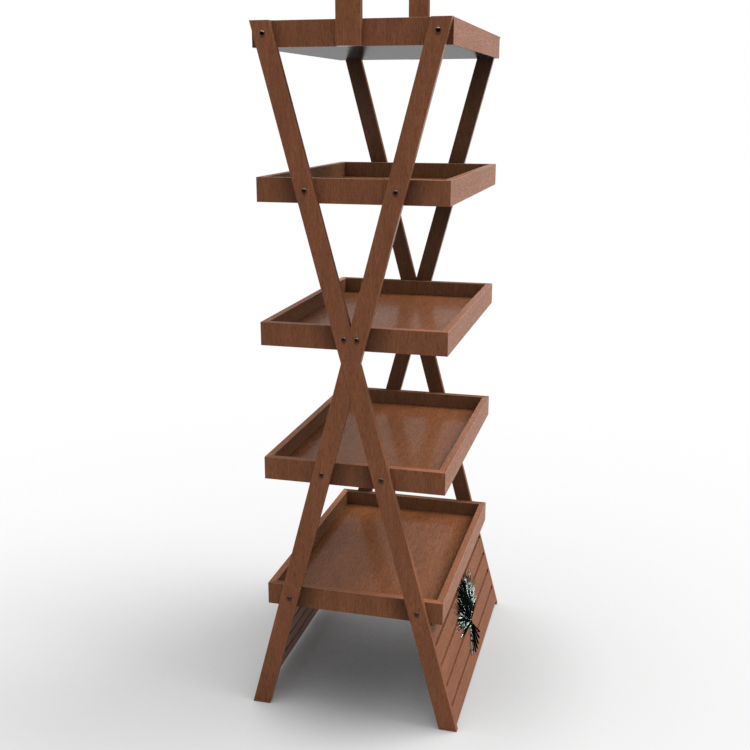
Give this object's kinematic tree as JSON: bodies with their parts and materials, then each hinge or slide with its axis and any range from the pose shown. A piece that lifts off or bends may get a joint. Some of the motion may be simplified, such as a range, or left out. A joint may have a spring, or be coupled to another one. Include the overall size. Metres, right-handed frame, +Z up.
{
  "type": "whiskey display rack",
  "caption": "Free-standing wooden display rack with stepped trays bolted between two crossed-bar end frames, slatted panels between the lower legs and two header posts.",
  "frame": {"origin": "on the floor, under the middle of the rack", "axes": "+Z up; +X towards the front, where the separate slats are; +Y along the trays from the left end to the right end"},
  "size_m": [0.5598, 0.7392, 2.1],
  "materials": {
    "stained_wood": "reddish brown stain under a satin lacquer",
    "stained_floor_wood": "reddish brown stain under a satin lacquer, bare grey underside",
    "blackened_steel": "satin black oxide"
  },
  "bodies": {
    "root": {"tray_1_front_board": "stained_wood", "tray_1_back_board": "stained_wood", "tray_1_left_board": "stained_wood", "tray_1_right_board": "stained_wood", "tray_1_floor": "stained_floor_wood", "tray_2_front_board": "stained_wood", "tray_2_back_board": "stained_wood", "tray_2_left_board": "stained_wood", "tray_2_right_board": "stained_wood", "tray_2_floor": "stained_floor_wood", "tray_3_front_board": "stained_wood", "tray_3_back_board": "stained_wood", "tray_3_left_board": "stained_wood", "tray_3_right_board": "stained_wood", "tray_3_floor": "stained_floor_wood", "tray_4_front_board": "stained_wood", "tray_4_back_board": "stained_wood", "tray_4_left_board": "stained_wood", "tray_4_right_board": "stained_wood", "tray_4_floor": "stained_floor_wood", "tray_5_front_board": "stained_wood", "tray_5_back_board": "stained_wood", "tray_5_left_board": "stained_wood", "tray_5_right_board": "stained_wood", "tray_5_floor": "stained_floor_wood", "left_front_foot_bar": "stained_wood", "left_back_foot_bar": "stained_wood", "right_front_foot_bar": "stained_wood", "right_back_foot_bar": "stained_wood", "left_front_foot_bolt_1": "blackened_steel", "left_front_foot_bolt_2": "blackened_steel", "left_front_foot_bolt_3": "blackened_steel", "left_front_foot_bolt_4": "blackened_steel", "left_front_foot_bolt_5": "blackened_steel", "left_back_foot_bolt_1": "blackened_steel", "left_back_foot_bolt_2": "blackened_steel", "left_back_foot_bolt_3": "blackened_steel", "left_back_foot_bolt_4": "blackened_steel", "left_back_foot_bolt_5": "blackened_steel", "right_front_foot_bolt_1": "blackened_steel", "right_front_foot_bolt_2": "blackened_steel", "right_front_foot_bolt_3": "blackened_steel", "right_front_foot_bolt_4": "blackened_steel", "right_front_foot_bolt_5": "blackened_steel", "right_back_foot_bolt_1": "blackened_steel", "right_back_foot_bolt_2": "blackened_steel", "right_back_foot_bolt_3": "blackened_steel", "right_back_foot_bolt_4": "blackened_steel", "right_back_foot_bolt_5": "blackened_steel", "front_slat_1": "stained_wood", "front_slat_2": "stained_wood", "front_slat_3": "stained_wood", "front_slat_4": "stained_wood", "front_slat_5": "stained_wood", "front_left_batten": "stained_wood", "front_right_batten": "stained_wood", "back_slat_panel": "stained_wood", "left_header_post": "stained_wood", "right_header_post": "stained_wood"}
  },
  "joints": []
}
